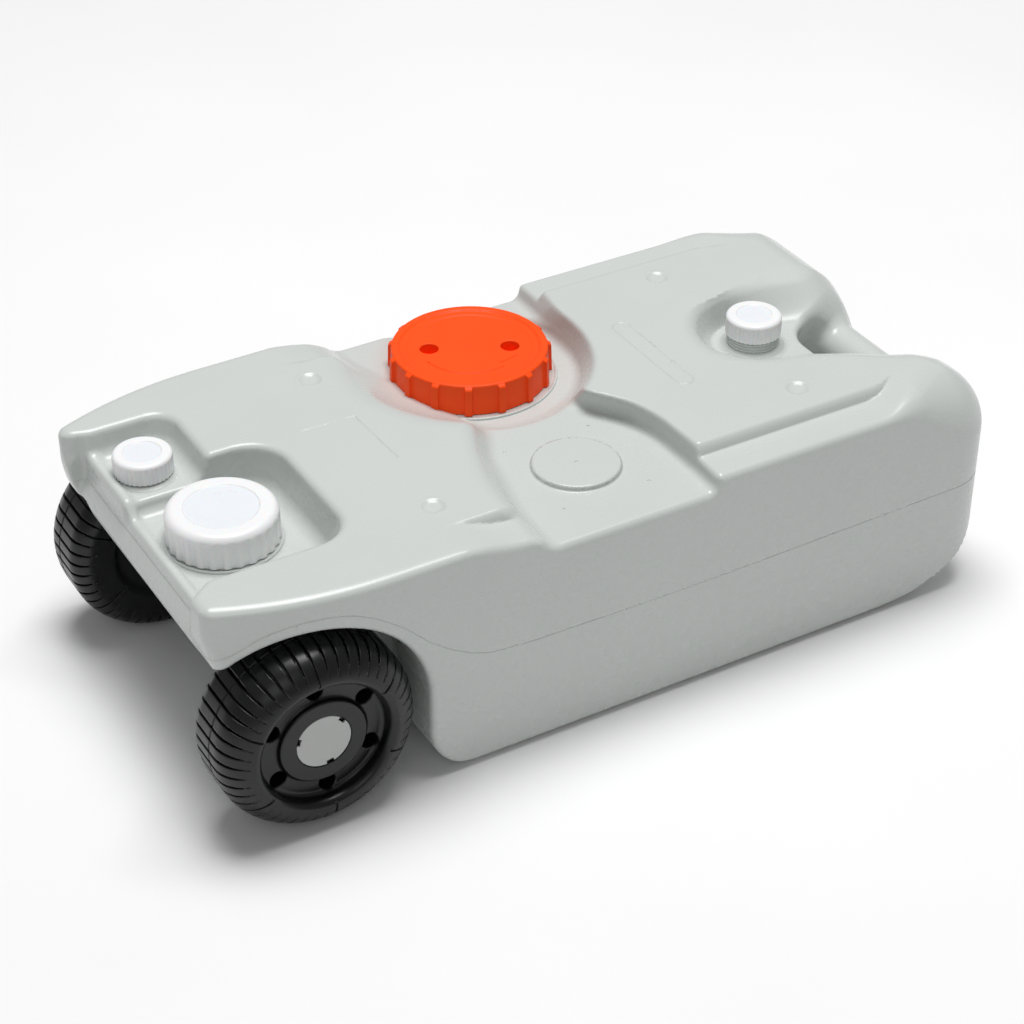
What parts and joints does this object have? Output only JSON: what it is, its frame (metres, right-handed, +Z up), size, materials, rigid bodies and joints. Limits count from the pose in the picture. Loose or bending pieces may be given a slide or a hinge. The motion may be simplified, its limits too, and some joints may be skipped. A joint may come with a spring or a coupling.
{
  "type": "portable waste tote",
  "caption": "Low wheeled holding tank for caravan waste water, with a wide filler cap, a drain cap, vent caps and a moulded grab handle.",
  "frame": {"origin": "on the ground, below the centre of the whole object's box", "axes": "+Z up, +X towards the moulded grab handle, -X towards the wheels, +Y towards the side of the wide filler cap"},
  "size_m": [0.635, 0.325, 0.184],
  "materials": {
    "tank_plastic": "satin blow-moulded polyethylene, pale grey-green",
    "cap_orange": "satin moulded polypropylene, orange-red",
    "cap_white": "satin moulded polypropylene, white",
    "seal_rubber": "soft sealing rubber, dark",
    "zinc_steel": "zinc-plated steel",
    "saddle_plastic": "moulded nylon, black",
    "wheel_plastic": "satin blow-moulded polyethylene, black",
    "bush_nylon": "natural nylon",
    "hub_grey": "moulded plastic, grey"
  },
  "bodies": {
    "tank": {"tank_shell": "tank_plastic", "axle_rod": "zinc_steel", "axle_saddle_left": "saddle_plastic", "axle_saddle_right": "saddle_plastic", "saddle_screw_1": "zinc_steel", "saddle_screw_2": "zinc_steel", "saddle_screw_3": "zinc_steel", "saddle_screw_4": "zinc_steel", "inner_washer_left": "zinc_steel", "inner_washer_right": "zinc_steel", "outer_washer_left": "zinc_steel", "outer_washer_right": "zinc_steel", "push_nut_left": "zinc_steel", "push_nut_right": "zinc_steel"},
    "left_wheel": {"wheel_left": "wheel_plastic", "bush_left_inner": "bush_nylon", "bush_left_outer": "bush_nylon", "hub_cap_left": "hub_grey"},
    "right_wheel": {"wheel_right": "wheel_plastic", "bush_right_inner": "bush_nylon", "bush_right_outer": "bush_nylon", "hub_cap_right": "hub_grey"},
    "filler_seal": {"main_cap_gasket": "seal_rubber"},
    "filler_cap": {"main_cap": "cap_orange"},
    "drain_seal": {"drain_cap_gasket": "seal_rubber"},
    "drain_screw_cap": {"drain_cap": "cap_white"},
    "front_vent_seal": {"vent_cap_front_gasket": "seal_rubber"},
    "front_vent_cap": {"vent_cap_front": "cap_white"},
    "rear_vent_seal": {"vent_cap_rear_gasket": "seal_rubber"},
    "rear_vent_cap": {"vent_cap_rear": "cap_white"}
  },
  "joints": [
    {"name": "left_wheel_spin", "type": "hinge", "parent": "tank", "child": "left_wheel", "pos_m": [-0.2455, 0.131, 0.072], "axis": [0, 1, 0], "continuous": true},
    {"name": "right_wheel_spin", "type": "hinge", "parent": "tank", "child": "right_wheel", "pos_m": [-0.2455, -0.131, 0.072], "axis": [0, 1, 0], "continuous": true},
    {"name": "filler_lift", "type": "slide", "parent": "tank", "child": "filler_seal", "axis": [0, 0, 1], "range_m": [0, 0.02]},
    {"name": "filler_turn", "type": "hinge", "parent": "filler_seal", "child": "filler_cap", "pos_m": [-0.003, 0.081, 0.17], "axis": [0, 0, 1], "range_deg": [0, 900]},
    {"name": "drain_lift", "type": "slide", "parent": "tank", "child": "drain_seal", "axis": [0, 0, 1], "range_m": [0, 0.021]},
    {"name": "drain_turn", "type": "hinge", "parent": "drain_seal", "child": "drain_screw_cap", "pos_m": [-0.248, -0.015, 0.165], "axis": [0, 0, 1], "range_deg": [0, 1260]},
    {"name": "front_vent_lift", "type": "slide", "parent": "tank", "child": "front_vent_seal", "axis": [0, 0, 1], "range_m": [0, 0.012]},
    {"name": "front_vent_turn", "type": "hinge", "parent": "front_vent_seal", "child": "front_vent_cap", "pos_m": [-0.269, 0.0705, 0.172], "axis": [0, 0, 1], "range_deg": [0, 1080]},
    {"name": "rear_vent_lift", "type": "slide", "parent": "tank", "child": "rear_vent_seal", "axis": [0, 0, 1], "range_m": [0, 0.012]},
    {"name": "rear_vent_turn", "type": "hinge", "parent": "rear_vent_seal", "child": "rear_vent_cap", "pos_m": [0.2025, 0.0085, 0.176], "axis": [0, 0, 1], "range_deg": [0, 1080]}
  ],
  "couplings": [
    {"joint": "filler_turn", "follows": "filler_lift", "rad_per_m": 785.4},
    {"joint": "drain_turn", "follows": "drain_lift", "rad_per_m": 1047.2},
    {"joint": "front_vent_turn", "follows": "front_vent_lift", "rad_per_m": 1570.8},
    {"joint": "rear_vent_turn", "follows": "rear_vent_lift", "rad_per_m": 1570.8}
  ]
}
